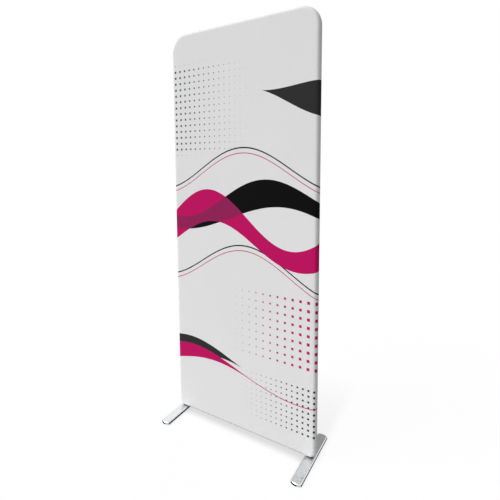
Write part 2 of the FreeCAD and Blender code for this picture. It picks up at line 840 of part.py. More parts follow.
def zip_pull():
    """A tapered tab that hangs from an eye on the slider's bridge."""
    body = new_body("zip_pull")
    pad(body, circle(sketch_on(body, "YZ_Plane"), "pull_eye"), "pull_eye_length", symmetric=True)
    half = "pull_eye_length / 2"
    wide = "pull_width / 2"
    tab = outline(sketch_on(body, "XZ_Plane"), [
        ("-" + half, "0"),
        ("-" + half, "-pull_eye"),
        ("-" + wide, "-pull_length / 2"),
        ("-" + wide, "-pull_length"),
        (wide, "-pull_length"),
        (wide, "-pull_length / 2"),
        (half, "-pull_eye"),
        (half, "0"),
    ])
    pad(body, tab, "pull_thickness", symmetric=True)
    bottom = -value("pull_length")
    soften(body, "Fillet", "pull_end_radius", lambda edge: is_tab_corner(edge, bottom))
    middle = "pull_hole - pull_length + pull_end_radius / 2"
    hole = circle(sketch_on(body, "XZ_Plane"), "pull_hole", "0", middle)
    pocket(body, hole, "pull_thickness + overrun", symmetric=True)
    eye = circle(sketch_on(body, "YZ_Plane"), "bridge_bar + pull_gap")
    pocket(body, eye, "pull_eye_length + overrun", symmetric=True)
    place(keep(body, "zip_pull"), "chain_end", "zip_depth + bar_place", "zip_height")


def is_tab_corner(edge, bottom):
    return runs_along(edge, FreeCAD.Vector(0, 1, 0)) and is_near(edge.CenterOfMass.z, bottom)


def zip_stops():
    """A clamp at the start of the teeth and one on each bead past the slider."""
    start = "chain_end - chain_length - tooth_gap"
    finish = "chain_end + slider_length / 2 + slider_gap"
    inner = "chain_width / 2 - chain_bead"
    stops = [
        ("zip_start_stop", start + " - stop_length", "-chain_width / 2", start, "chain_width / 2"),
        ("zip_upper_stop", finish, inner, finish + " + stop_length", "chain_width / 2"),
        ("zip_lower_stop", finish, "-chain_width / 2", finish + " + stop_length", "-(" + inner + ")"),
    ]
    pieces = []
    for name, *edges in stops:
        body = new_body(name)
        clamp = outline(sketch_on(body, "XZ_Plane"), box_corners(*edges))
        pad(body, clamp, "chain_thickness", symmetric=True)
        pieces.append(place(body, "0", "zip_depth", "zip_height"))
    group("zip_stops", pieces)


def check_all():
    """Stops before anything is written if a feature failed or a shape is empty or broken."""
    doc.recompute()
    for item in doc.Objects:
        if "Invalid" in item.State or "Error" in item.State:
            raise ValueError(f"{item.Label} failed: {item.State}")
    for piece in sub_parts:
        if piece.Shape.isNull() or not piece.Shape.isValid() or not piece.Shape.Solids:
            raise ValueError(piece.Label + " has no valid solid")


for build in (
    top_bow, uprights, bottom_rail, corner_elbows,
    tube_spigots, spring_buttons, spigot_rivets,
    foot_plates, foot_pads, foot_bushes, foot_screws, foot_inserts,
    front_panel, back_panel, bottom_flap,
    zip_tapes, zip_teeth, zip_slider, zip_pull, zip_stops,
):
    build()
check_all()
os.makedirs("parts", exist_ok=True)
for piece in sub_parts:
    piece.Shape.exportStep(f"parts/{piece.Label}.step")
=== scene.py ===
"""Looks of the fabric display stand: its stretch cover with a printed front, the zip across the back,
the polished feet and the finish of every inner piece. Metres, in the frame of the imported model."""
import json
import math
from typing import NamedTuple

import bpy
from mathutils import Matrix, Vector


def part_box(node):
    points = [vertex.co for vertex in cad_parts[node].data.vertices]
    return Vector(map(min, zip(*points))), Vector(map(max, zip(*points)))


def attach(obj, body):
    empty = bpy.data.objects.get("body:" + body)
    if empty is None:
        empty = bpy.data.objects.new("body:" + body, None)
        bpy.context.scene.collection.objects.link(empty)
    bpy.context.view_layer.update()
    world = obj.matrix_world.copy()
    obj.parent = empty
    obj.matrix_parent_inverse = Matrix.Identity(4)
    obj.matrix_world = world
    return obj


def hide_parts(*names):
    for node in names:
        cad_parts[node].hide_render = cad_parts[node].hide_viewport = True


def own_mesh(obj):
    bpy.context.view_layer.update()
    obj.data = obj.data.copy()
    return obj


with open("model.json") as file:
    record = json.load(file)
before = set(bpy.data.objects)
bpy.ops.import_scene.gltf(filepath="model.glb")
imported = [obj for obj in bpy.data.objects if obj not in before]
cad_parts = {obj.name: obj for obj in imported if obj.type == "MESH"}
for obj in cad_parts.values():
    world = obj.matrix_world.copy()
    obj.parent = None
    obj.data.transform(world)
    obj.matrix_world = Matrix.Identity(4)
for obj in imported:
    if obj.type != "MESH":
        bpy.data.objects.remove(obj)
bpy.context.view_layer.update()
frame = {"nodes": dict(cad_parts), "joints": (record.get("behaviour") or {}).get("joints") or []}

MM = 0.001
FULL_TURN = 2 * math.pi
QUARTER_TURN = math.pi / 2

# The cover's driving sizes, read from the frame
front_low, front_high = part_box("front_panel")
slider_low, slider_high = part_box("zip_slider")
tape_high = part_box("zip_upper_tape")[1]
WRAP = -front_low.y
AXIS_HALF_WIDTH = front_high.x - WRAP
AXIS_BOTTOM = front_low.z + WRAP
AXIS_TOP = front_high.z - WRAP
ZIP_HEIGHT = (slider_low.z + slider_high.z) / 2
ZIP_HALF_LENGTH = tape_high.x

# The cover's other sizes: the bends of the tubes, where the seam lies, and the gap between the zip's lips
TOP_BEND = 75 * MM
BOTTOM_BEND = 20 * MM
FRONT_WRAP_ANGLE = math.radians(135)
BACK_WRAP_ANGLE = math.pi - FRONT_WRAP_ANGLE
FRONT_SIDE = -1
BACK_SIDE = 1
CLOTH_THICKNESS = 0.6 * MM
LIP_HALF_GAP = 5.4 * MM
FLAT_CUT = "flat_cut"


# Values in node trees

class Term:
    """A value in a material's node tree. Sums of terms and numbers add maths nodes to that tree."""

    def __init__(self, tree, socket):
        self.tree = tree
        self.socket = socket

    def maths(self, operation, *others):
        node = self.tree.nodes.new("ShaderNodeMath")
        node.operation = operation
        for place, item in enumerate((self, *others)):
            feed(self.tree, item, node.inputs[place])
        return Term(self.tree, node.outputs[0])

    def __add__(self, other):
        return self.maths("ADD", other)

    def __sub__(self, other):
        return self.maths("SUBTRACT", other)

    def __mul__(self, other):
        return self.maths("MULTIPLY", other)

    def __truediv__(self, other):
        return self.maths("DIVIDE", other)

    def sine(self):
        return self.maths("SINE")

    def swing(self):
        """Goes up and down between nothing and one as this term turns."""
        return self.sine() * 0.5 + 0.5

    def size(self):
        return self.maths("ABSOLUTE")

    def whole(self):
        return self.maths("FLOOR")

    def both(self, other):
        return self.maths("MINIMUM", other)

    def either(self, other):
        return self.maths("MAXIMUM", other)

    def ramp(self, low, high, low_value=0.0, high_value=1.0, smooth=True):
        """Goes from low_value to high_value as this term goes from low to high."""
        node = self.tree.nodes.new("ShaderNodeMapRange")
        node.interpolation_type = "SMOOTHSTEP" if smooth else "LINEAR"
        for name, item in (("Value", self), ("From Min", low), ("From Max", high),
                           ("To Min", low_value), ("To Max", high_value)):
            feed(self.tree, item, node.inputs[name])
        return Term(self.tree, node.outputs["Result"])


def feed(tree, item, socket):
    """Links a term to a socket, or sets a plain value on it."""
    if isinstance(item, Term):
        tree.links.new(item.socket, socket)
    else:
        socket.default_value = item


def new_material(name):
    """A material, its node tree and its shader."""
    material = bpy.data.materials.new(name)
    material.use_nodes = True
    tree = material.node_tree
    return material, tree, tree.nodes["Principled BSDF"]


def own(tree, kind):
    """The point's place, Object, or its direction, Normal, in the piece's own axes."""
    return tree.nodes.new("ShaderNodeTexCoord").outputs[kind]


def axes(tree, vector):
    """The x, y and z of a vector."""
    split = tree.nodes.new("ShaderNodeSeparateXYZ")
    tree.links.new(vector, split.inputs[0])
    return [Term(tree, part) for part in split.outputs]


def flat_place(tree):
    """The point's place on the flat cut of the cloth, in metres."""
    node = tree.nodes.new("ShaderNodeUVMap")
    node.uv_map = FLAT_CUT
    return axes(tree, node.outputs["UV"])[:2]


# Spans that hold most of a noise's values, and nearly all of them
NOISE_CORE = (0.35, 0.65)
NOISE_SPAN = (0.3, 0.7)


def noise(tree, vector, scale, detail=3.0, stretch=None):
    """A cloud of values round one half."""
    node = tree.nodes.new("ShaderNodeTexNoise")
    node.inputs["Scale"].default_value = scale
    node.inputs["Detail"].default_value = detail
    if stretch:
        mapping = tree.nodes.new("ShaderNodeMapping")
        mapping.inputs["Scale"].default_value = stretch
        tree.links.new(vector, mapping.inputs["Vector"])
        vector = mapping.outputs["Vector"]
    tree.links.new(vector, node.inputs["Vector"])
    return Term(tree, node.outputs[0])


# The sockets of a mix node when it mixes colours
MIX_SHARE = 0
MIX_COLOURS = (6, 7)
MIX_RESULT = 2


def mixed(tree, share, first, second, blend="MIX"):
    """A colour that goes from first to second, or to their product, as share goes from 0 to 1."""
    node = tree.nodes.new("ShaderNodeMix")
    node.data_type = "RGBA"
    node.blend_type = blend
    feed(tree, share, node.inputs[MIX_SHARE])
    for place, item in zip(MIX_COLOURS, (first, second)):
        feed(tree, item if isinstance(item, Term) else (*item, 1), node.inputs[place])
    return Term(tree, node.outputs[MIX_RESULT])


def shade(colour, share):
    """The same colour, darker or lighter by a share."""
    return tuple(min(1.0, c * share) for c in colour)


def shades(colour, spread):
    """The colour a little darker, and a little lighter."""
    return shade(colour, 1 - spread), shade(colour, 1 + spread)


def coat(tree, shader, tint, roughness):
    """Gives a shader its colour and roughness."""
    feed(tree, tint, shader.inputs["Base Color"])
    feed(tree, roughness, shader.inputs["Roughness"])


def bump(tree, shader, height, strength, distance):
    """Relief from a height term, on top of the mesh's own shape."""
    node = tree.nodes.new("ShaderNodeBump")
    node.inputs["Strength"].default_value = strength
    node.inputs["Distance"].default_value = distance
    tree.links.new(height.socket, node.inputs["Height"])
    tree.links.new(node.outputs["Normal"], shader.inputs["Normal"])


# The cloth: colours as linear light, the size of its knit, the look of its yarn and the painted shade in
# its knit's gaps
GROUND = (0.785, 0.785, 0.789)
INK_BLACK = (0.003, 0.003, 0.003)
INK_GREY = (0.029, 0.029, 0.030)
INK_MAGENTA = (0.53, 0.006, 0.118)
INK_PLUM = (0.29, 0.017, 0.098)
GROUND_SPREAD_SHARE = 0.015
KNIT_WIDTH = 1.2 * MM
KNIT_LENGTH = 0.95 * MM
KNIT_RELIEF = 0.22 * MM
KNIT_RELIEF_STRENGTH = 0.55
KNIT_GAP_PAINTED_SHADE = 0.86
KNIT_GAP_HEIGHT = 0.5
COLUMN_EDGE_SHARES = (0.50, 0.36)
COLUMN_MIDDLE_SHARES = (0.0, 0.10)
COLUMN_MIDDLE_HEIGHT = 0.55
CLOTH_CLOUD_SCALE = 2.2
YARN_SCALE = 420
YARN_RELIEF_SHARE = 0.3
CLOTH_ROUGHNESS = (0.74, 0.86)
CLOTH_SHEEN = 0.02
CLOTH_SHEEN_ROUGHNESS = 0.45
CLOTH_SPECULAR = 0.05


def knit_height(u, v):
    """Columns of small loops, as in stretch jersey: nothing between the loops, one on their crowns."""
    column = u / KNIT_WIDTH
    aside = (column - column.whole() - 0.5).size()
    loops = (v * (FULL_TURN / KNIT_LENGTH) + aside * FULL_TURN).swing()
    edges = aside.ramp(*COLUMN_EDGE_SHARES)
    middle = aside.ramp(*COLUMN_MIDDLE_SHARES, COLUMN_MIDDLE_HEIGHT, 1.0)
    return loops * edges * middle


def cloth(name, paint):
    """Stretch polyester with a fine knit and painted shade between its loops. paint(tree, u, v, ground)
    gives its colour.
    """
    material, tree, shader = new_material(name)
    place = own(tree, "Object")
    u, v = flat_place(tree)
    clouds = noise(tree, place, CLOTH_CLOUD_SCALE)
    yarn = noise(tree, place, YARN_SCALE, detail=1.0)
    knit = knit_height(u, v)
    pale = (clouds * 0.5 + yarn * 0.5).ramp(*NOISE_CORE)
    ground = mixed(tree, pale, *shades(GROUND, GROUND_SPREAD_SHARE))
    # Painted shade: the colour darkened where the knit sinks between its loops
    knit_gap_painted_shade = knit.ramp(0.0, KNIT_GAP_HEIGHT, 1.0, 0.0)
    tint = mixed(tree, knit_gap_painted_shade, paint(tree, u, v, ground), [KNIT_GAP_PAINTED_SHADE] * 3, "MULTIPLY")
    coat(tree, shader, tint, yarn.ramp(*NOISE_SPAN, *CLOTH_ROUGHNESS))
    shader.inputs["Sheen Weight"].default_value = CLOTH_SHEEN
    shader.inputs["Sheen Roughness"].default_value = CLOTH_SHEEN_ROUGHNESS
    shader.inputs["Specular IOR Level"].default_value = CLOTH_SPECULAR
    bump(tree, shader, knit + yarn * YARN_RELIEF_SHARE, KNIT_RELIEF_STRENGTH, KNIT_RELIEF)
    return material


class Wave(NamedTuple):
    """A wavy line across the cloth: its height, swing and length, and the turn that it starts with."""
    height: float
    swing: float
    length: float
    start: float

    def at(self, u):
        return (u * (FULL_TURN / self.length) + self.start).sine() * self.swing + self.height


class Field(NamedTuple):
    """Squares on a grid, within reach of a height. They grow from none at one u to full at another."""
    pitch: float
    none_at: float
    full_at: float
    height: float
    reach: float


# The print, in metres on the flat cut
EDGE = 0.8 * MM
NO_BAND = -2 * EDGE
FULL_SQUARE_SHARE = 0.25
NO_SQUARE_SHARE = 0.05
SQUARE_EDGE_SHARE = 0.03
DARK_FIELD = Field(pitch=0.030, none_at=0.24, full_at=-0.46, height=1.62, reach=0.225)
BRIGHT_FIELD = Field(pitch=0.038, none_at=-0.22, full_at=0.40, height=0.585, reach=0.170)
SMALL_FIELD = Field(pitch=0.027, none_at=-0.16, full_at=0.42, height=0.23, reach=0.125)
DARK_RIBBON = Wave(1.13, 0.085, 1.05, 0.5)
DARK_RIBBON_HALF = Wave(0.050, 0.018, 0.8, 1.0)
BRIGHT_RIBBON = Wave(1.03, 0.115, 0.92, 2.7)
BRIGHT_RIBBON_HALF = Wave(0.062, 0.022, 0.9, 3.4)
UPPER_TAIL = Wave(1.66, 0.05, 1.3, 2.2)
UPPER_TAIL_SPAN = (0.10, 0.44)
UPPER_TAIL_HALF = 0.075
LOWER_TAIL = Wave(0.335, 0.055, 1.1, 2.9)
LOWER_TAIL_SPAN = (-0.44, 0.06)
LOWER_TAIL_HALF = 0.060
LOWER_EDGING_DROP = 0.030
LOWER_EDGING_HALF = 0.045
LOWER_EDGING_TIP = 2 * MM
THIN_SWING = 0.10
THIN_LENGTH = 0.98
THIN_START = 1.4
THIN_BRIGHT_HALF = 2.0 * MM
THIN_DARK_HALF = 3.2 * MM
THIN_LINES = (
    (0.835, THIN_BRIGHT_HALF, INK_MAGENTA),
    (0.860, THIN_DARK_HALF, INK_BLACK),
    (1.300, THIN_BRIGHT_HALF, INK_MAGENTA),
    (1.325, THIN_DARK_HALF, INK_BLACK))


def band(v, line, half):
    """One inside a band round a line, nothing outside."""
    return ((v - line).size() - half).ramp(-EDGE, EDGE, 1.0, 0.0)


def squares(u, v, field):
    """One inside a field's squares, nothing outside."""
    column = (u / field.pitch).whole()
    row = (v / field.pitch).whole()
    across = (u / field.pitch - column - 0.5).size()
    upward = (v / field.pitch - row - 0.5).size()
    grown = ((column + 0.5) * field.pitch).ramp(
        field.none_at, field.full_at, 0.0, FULL_SQUARE_SHARE, smooth=False)
    half_share = grown * band((row + 0.5) * field.pitch, field.height, field.reach) - NO_SQUARE_SHARE
    return (across.either(upward) - half_share).ramp(-SQUARE_EDGE_SHARE, SQUARE_EDGE_SHARE, 1.0, 0.0)


def print_front(tree, u, v, ground):
    """A generic print: two ribbons that cross in slow waves, tails, thin lines and fields of squares."""
    colour = mixed(tree, squares(u, v, DARK_FIELD).either(squares(u, v, SMALL_FIELD)), ground, INK_GREY)
    colour = mixed(tree, squares(u, v, BRIGHT_FIELD), colour, INK_MAGENTA)
    upper_tail = band(v, UPPER_TAIL.at(u), u.ramp(*UPPER_TAIL_SPAN, NO_BAND, UPPER_TAIL_HALF))
    lower_line = LOWER_TAIL.at(u)
    lower_tail = band(v, lower_line, u.ramp(*LOWER_TAIL_SPAN, LOWER_TAIL_HALF, NO_BAND))
    colour = mixed(tree, upper_tail.either(lower_tail), colour, INK_GREY)
    edging_half = u.ramp(*LOWER_TAIL_SPAN, LOWER_EDGING_HALF, LOWER_EDGING_TIP)
    colour = mixed(tree, band(v, lower_line - LOWER_EDGING_DROP, edging_half), colour, INK_MAGENTA)
    for height, half, ink in THIN_LINES:
        line = Wave(height, THIN_SWING, THIN_LENGTH, THIN_START).at(u)
        colour = mixed(tree, band(v, line, half), colour, ink)
    dark = band(v, DARK_RIBBON.at(u), DARK_RIBBON_HALF.at(u))
    bright = band(v, BRIGHT_RIBBON.at(u), BRIGHT_RIBBON_HALF.at(u))
    colour = mixed(tree, dark, colour, INK_BLACK)
    colour = mixed(tree, bright, colour, INK_MAGENTA)
    return mixed(tree, bright.both(dark), colour, INK_PLUM)


def plain_back(tree, u, v, ground):
    """No print."""
    return ground


# Metal: its grain, its stains, and how handling rubs its edges bright
GRAIN_SPREAD_SHARE = 0.2
GRAIN_RELIEF = 0.1 * MM
GRAIN_RELIEF_STRENGTH = 0.08
STAIN_SCALE = 14
STAIN_SPAN = (0.35, 0.7)
STAIN_SHADE = 0.93
STAIN_DULL_SPAN = (0.4, 0.8)
STAIN_ROUGHNESS = 0.05
EDGE_WEAR_REACH = 0.35 * MM
EDGE_WEAR_SAMPLES = 4
EDGE_LIKENESS_SHARES = (0.82, 0.99)
WEAR_SCALE = 160
WEAR_SPAN = (0.35, 0.6)
LEAST_WEAR_SHARE = 0.35
WEAR_SHADE = 1.35
WEAR_POLISH_SHARE = 0.4


def worn_edge(tree):
    """One along a piece's edges, where handling rubs it bright, and nothing on its flats."""
    rounded = tree.nodes.new("ShaderNodeBevel")
    rounded.samples = EDGE_WEAR_SAMPLES
    rounded.inputs["Radius"].default_value = EDGE_WEAR_REACH
    face = tree.nodes.new("ShaderNodeNewGeometry")
    likeness = tree.nodes.new("ShaderNodeVectorMath")
    likeness.operation = "DOT_PRODUCT"
    tree.links.new(rounded.outputs["Normal"], likeness.inputs[0])
    tree.links.new(face.outputs["Normal"], likeness.inputs[1])
    return Term(tree, likeness.outputs["Value"]).ramp(*EDGE_LIKENESS_SHARES, 1.0, 0.0)


def metal(name, colour, roughness, grain, stretch=None):
    """Bare or plated metal with a fine grain, slight stains and edges rubbed bright."""
    material, tree, shader = new_material(name)
    place = own(tree, "Object")
    lines = noise(tree, place, grain, detail=2.0, stretch=stretch)
    stains = noise(tree, place, STAIN_SCALE, detail=4.0)
    rubbed = noise(tree, place, WEAR_SCALE).ramp(*WEAR_SPAN, LEAST_WEAR_SHARE, 1.0)
    worn = worn_edge(tree) * rubbed
    tint = mixed(tree, stains.ramp(*STAIN_SPAN), shade(colour, STAIN_SHADE), colour)
    tint = mixed(tree, worn, tint, shade(colour, WEAR_SHADE))
    spread = roughness * GRAIN_SPREAD_SHARE
    dull = lines.ramp(*NOISE_SPAN, roughness - spread, roughness + spread)
    dull = dull + stains.ramp(*STAIN_DULL_SPAN, 0.0, STAIN_ROUGHNESS)
    coat(tree, shader, tint, dull - worn * (roughness * WEAR_POLISH_SHARE))
    shader.inputs["Metallic"].default_value = 1.0
    bump(tree, shader, lines, GRAIN_RELIEF_STRENGTH, GRAIN_RELIEF)
    return material


# Moulded plastic and rubber
MOULD_CLOUD_SCALE = 30
MOULD_SPREAD_SHARE = 0.15
MOULD_ROUGHNESS_SPREAD = 0.06
MOULD_RELIEF = 0.1 * MM
MOULD_RELIEF_STRENGTH = 0.2


def moulded(name, colour, roughness, grain):
    """Moulded plastic or rubber with a fine grain."""
    material, tree, shader = new_material(name)
    place = own(tree, "Object")
    pores = noise(tree, place, grain, detail=2.0)
    clouds = noise(tree, place, MOULD_CLOUD_SCALE).ramp(*NOISE_CORE)
    tint = mixed(tree, clouds, *shades(colour, MOULD_SPREAD_SHARE))
    spread = MOULD_ROUGHNESS_SPREAD
    coat(tree, shader, tint, pores.ramp(*NOISE_SPAN, roughness - spread, roughness + spread))
    bump(tree, shader, pores, MOULD_RELIEF_STRENGTH, MOULD_RELIEF)
    return material


# Woven tape, with painted shade between its ribs and painted light on them
RIB_LENGTH = 0.7 * MM
HERRINGBONE = 3.0 * MM
TAPE_YARN_SCALE = 900
TAPE_RIB_SHARE = 0.6
TAPE_RIB_SHADE_AND_TONE = (0.72, 1.12)
TAPE_ROUGHNESS = (0.76, 0.90)
TAPE_SPECULAR = 0.2
TAPE_RELIEF = 0.15 * MM
TAPE_RELIEF_STRENGTH = 0.5


def woven(name, colour):
    """Woven tape: slanting ribs that turn back and forth across its width, painted darker between the ribs
    and lighter on them, with a random yarn tone.
    """
    material, tree, shader = new_material(name)
    place = own(tree, "Object")
    along, _, across = axes(tree, place)
    lane = across / HERRINGBONE
    slant = (lane - lane.whole() - 0.5).size()
    ribs = ((along / RIB_LENGTH + slant * (HERRINGBONE / RIB_LENGTH)) * FULL_TURN).swing()
    yarn = noise(tree, place, TAPE_YARN_SCALE, detail=2.0)
    # Painted shade and light by the ribs' height, mixed with the yarn's random tone
    rib_shade_and_yarn_tone = ribs * TAPE_RIB_SHARE + yarn * (1 - TAPE_RIB_SHARE)
    tint = mixed(tree, rib_shade_and_yarn_tone, *[shade(colour, share) for share in TAPE_RIB_SHADE_AND_TONE])
    coat(tree, shader, tint, yarn.ramp(*NOISE_SPAN, *TAPE_ROUGHNESS))
    shader.inputs["Specular IOR Level"].default_value = TAPE_SPECULAR
    bump(tree, shader, ribs + yarn * YARN_RELIEF_SHARE, TAPE_RELIEF_STRENGTH, TAPE_RELIEF)
    return material


# The polished foot: colour pairs of its top, of its rim's painted highlight and of its walls' painted
# reflection, and the shares of the surface's direction that part them
FOOT_TOP = ((0.80, 0.825, 0.84), (0.84, 0.865, 0.88))
# Painted highlight on the rim, dimmer and brighter, and painted reflection on the walls, dark and lighter
FOOT_RIM_PAINTED_HIGHLIGHT = ((0.50, 0.515, 0.525), (0.96, 0.965, 0.97))
FOOT_WALL_PAINTED_REFLECTION = ((0.019, 0.020, 0.022), (0.59, 0.605, 0.615))
TOP_UP_SHARES = (0.94, 0.985)
RIM_UP_SHARES = (0.56, 0.68)
RIM_HIGHLIGHT_AHEAD_SHARES = (0.25, 0.50)
RIM_HIGHLIGHT_ASIDE_SHARES = (0.15, 0.45)
WALL_REFLECTION_AHEAD_SHARES = (0.55, 0.80)
WALL_REFLECTION_TURN_SHARES = (-0.22, -0.06)
HAIRLINE_SCALE = 90
HAIRLINE_STRETCH = (9, 0.25, 1)
HAIRLINE_SPAN = (0.35, 0.75)
HAIRLINE_ROUGHNESS = (0.15, 0.21)
HAIRLINE_RELIEF = 0.05 * MM
HAIRLINE_RELIEF_STRENGTH = 0.03
SMEAR_SCALE = 22
SMEAR_DULL_SPAN = (0.45, 0.8)
SMEAR_ROUGHNESS = 0.06


def polished_foot():
    """Polished plate with fine hairlines: bright on top, a painted highlight on its rim, and a painted
    reflection on its cut walls, dark on most of them.
    """
    material, tree, shader = new_material("polished_foot")
    place = own(tree, "Object")
    aside, ahead, up = axes(tree, own(tree, "Normal"))
    # Shares of the rim's painted highlight and of the walls' lighter painted reflection, by the surface's
    # direction
    rim_highlight_share = ahead.size().ramp(*RIM_HIGHLIGHT_AHEAD_SHARES).either(aside.ramp(*RIM_HIGHLIGHT_ASIDE_SHARES))
    wall_reflection_share = ahead.size().ramp(*WALL_REFLECTION_AHEAD_SHARES) * (aside * ahead).ramp(*WALL_REFLECTION_TURN_SHARES, 1.0, 0.0)
    hairlines = noise(tree, place, HAIRLINE_SCALE, detail=2.0, stretch=HAIRLINE_STRETCH)
    smears = noise(tree, place, SMEAR_SCALE, detail=4.0)
    top = mixed(tree, smears.ramp(*STAIN_SPAN), *FOOT_TOP)
    # Painted highlight on the rim and painted reflection on the walls
    rim_painted_highlight = mixed(tree, rim_highlight_share, *FOOT_RIM_PAINTED_HIGHLIGHT)
    wall_painted_reflection = mixed(tree, wall_reflection_share, *FOOT_WALL_PAINTED_REFLECTION)
    tint = mixed(tree, up.ramp(*RIM_UP_SHARES), wall_painted_reflection, rim_painted_highlight)
    tint = mixed(tree, up.ramp(*TOP_UP_SHARES), tint, top)
    dull = hairlines.ramp(*HAIRLINE_SPAN, *HAIRLINE_ROUGHNESS)
    coat(tree, shader, tint, dull + smears.ramp(*SMEAR_DULL_SPAN, 0.0, SMEAR_ROUGHNESS))
    shader.inputs["Metallic"].default_value = 1.0
    bump(tree, shader, hairlines, HAIRLINE_RELIEF_STRENGTH, HAIRLINE_RELIEF)
    return material


# Meshes

def new_piece(name, points, faces, material):
    """A smooth mesh that rides the frame."""
    mesh = bpy.data.meshes.new(name)
    mesh.from_pydata(points, [], faces)
    mesh.materials.append(material)
    mesh.polygons.foreach_set("use_smooth", [True] * len(mesh.polygons))
    piece = bpy.data.objects.new(name, mesh)
    bpy.context.scene.collection.objects.link(piece)
    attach(piece, "frame")
    return piece


def lay_flat(piece, flat):
    """Keeps each point's place on the flat cut as the piece's texture place."""
    layer = piece.data.uv_layers.new(name=FLAT_CUT)
    for loop in piece.data.loops:
        layer.data[loop.index].uv = flat[loop.vertex_index]


# The cover's grid: steps round a bend, up an upright, across the sheet and round the tube.
# END_STEPS has the columns beside the zip's ends, in millimetres past the end
ARC_STEPS = 14
BAR_STEPS = 170
COLUMN_STEPS = 76
END_STEPS = (-3, -1, -0.5, 0, 0.5, 1, 1.6, 3, 6, 11)
EVEN_COLUMNS = [2 * i / COLUMN_STEPS - 1 for i in range(COLUMN_STEPS + 1)]
END_COLUMNS = [
    way * (ZIP_HALF_LENGTH + step * MM) / AXIS_HALF_WIDTH for way in (-1, 1) for step in END_STEPS]
SEAM_STEPS = [math.radians(step) for step in (12, 8, 5, 2.5, 0)]
WRAP_STEP = math.radians(11)
BEND_LOW = AXIS_BOTTOM + BOTTOM_BEND
BEND_HIGH = AXIS_TOP - TOP_BEND


def corner(bend, centre, turn):
    """A point of the tubes' axis in a bend: half width, height and outward direction."""
    return AXIS_HALF_WIDTH - bend + bend * math.cos(turn), centre + bend * math.sin(turn), turn


def bottom_bend():
    """The axis line round the lower right corner, from the rail to the upright."""
    turns = [QUARTER_TURN * (i / ARC_STEPS - 1) for i in range(ARC_STEPS + 1)]
    return [corner(BOTTOM_BEND, BEND_LOW, turn) for turn in turns]


def top_bend():
    """The axis line round the upper right corner, from the upright to the top."""
    turns = [QUARTER_TURN * i / ARC_STEPS for i in range(ARC_STEPS + 1)]
    return [corner(TOP_BEND, BEND_HIGH, turn) for turn in turns]


def upright(low, high):
    """Even steps of the axis line between two heights, without the ends."""
    return [(AXIS_HALF_WIDTH, low + (high - low) * i / BAR_STEPS, 0.0) for i in range(1, BAR_STEPS)]


def wrap_angles(end):
    """Steps round the tube, closer together beside the seam."""
    wide = end - SEAM_STEPS[0]
    count = max(2, round(wide / WRAP_STEP))
    return [wide * (i + 1) / count for i in range(count)] + [end - step for step in SEAM_STEPS[1:]]


SEAM_GROOVE = 0.7 * MM
SEAM_GROOVE_WIDTH = 1.6 * MM
PUCKER = 0.22 * MM
PUCKER_LENGTH = 17 * MM
PUCKER_REACH = 7 * MM


def groove(away):
    """How far a seam draws the cloth in, at a distance from it."""
    return SEAM_GROOVE * math.exp(-(away / SEAM_GROOVE_WIDTH) ** 2)


def wrap_radius(angle, end, along):
    """The cloth's distance from the tube's axis: drawn in at the seam, with small puckers beside it."""
    away = (end - angle) * WRAP
    pucker = PUCKER * math.exp(-away / PUCKER_REACH) * math.sin(FULL_TURN * along / PUCKER_LENGTH)
    return WRAP - groove(away) - abs(pucker)


# Slight waves in the stretched cloth. They lean to and fro as they go up
WAVE_DEPTH = 0.25 * MM
WAVE_CLEAR = 90 * MM
WAVE_WIDTH = 0.37
WAVE_HEIGHT = 0.83
WAVE_START = 1.0
LEAN_TURN_SHARE = 0.15
LEAN_RADIANS_PER_METRE = 5


def tension(x, z):
    """How far the stretched cloth waves out. It lies still near the tubes."""
    clear = min(AXIS_HALF_WIDTH - abs(x), z - AXIS_BOTTOM, AXIS_TOP - z)
    free = max(0.0, min(1.0, clear / WAVE_CLEAR))
    lean = LEAN_TURN_SHARE * math.sin(z * LEAN_RADIANS_PER_METRE)
    across = math.sin(FULL_TURN * (x / WAVE_WIDTH + lean))
    upward = math.sin(FULL_TURN * z / WAVE_HEIGHT + WAVE_START)
    return WAVE_DEPTH * free * free * (across * upward)


# The hem: millimetres from the zip's line before the cloth is drawn back, and share of its rise
HEM_SHAPE = (
    (0.0, -0.8), (0.4, 0.30), (1.0, 0.85), (2.0, 1.0), (4.5, 1.0), (5.8, 0.85), (6.67, 0.60), (7.5, 0.85),
    (8.6, 0.95), (9.8, 0.85), (10.8, 0.35), (12.0, 0.08), (14.0, 0.0), (16.5, 0.0), (20.0, 0.0))
HEM_RISE = 0.7 * MM
HEM_WAVE = 0.35 * MM
HEM_WAVE_LENGTH = 31 * MM
LIP_REACH = 20 * MM
LIP_END = 1.5 * MM
LIP_OVERHANG = 1 * MM


def opening(x):
    """One along the zip, nothing beyond its ends."""
    share = max(0.0, min(1.0, (ZIP_HALF_LENGTH + LIP_OVERHANG - abs(x)) / LIP_END))
    return share * share * (3 - 2 * share)


def hem_rise(away):
    """The height of the folded hem, at a distance from the zip's line."""
    for (low, first), (high, second) in zip(HEM_SHAPE, HEM_SHAPE[1:]):
        if away <= high * MM:
            return HEM_RISE * (first + (second - first) * (away / MM - low) / (high - low))
    return 0.0


def beside_zip(x, z):
    """How far the cloth beside the zip stands out, and how far it is drawn back from the zip's line."""
    away = abs(z - ZIP_HEIGHT)
    share = opening(x)
    ripple = HEM_WAVE * math.exp(-away / LIP_REACH) * (1 + math.sin(FULL_TURN * x / HEM_WAVE_LENGTH)) / 2
    drawn = LIP_HALF_GAP * max(0.0, 1 - away / LIP_REACH)
    return share * (hem_rise(away) + ripple) - (1 - share) * groove(away), share * drawn


def before_drawn(from_lip):
    """The distance from the zip's line, before the cloth is drawn back, of a point so far from the lip."""
    return from_lip * LIP_REACH / (LIP_REACH - LIP_HALF_GAP)


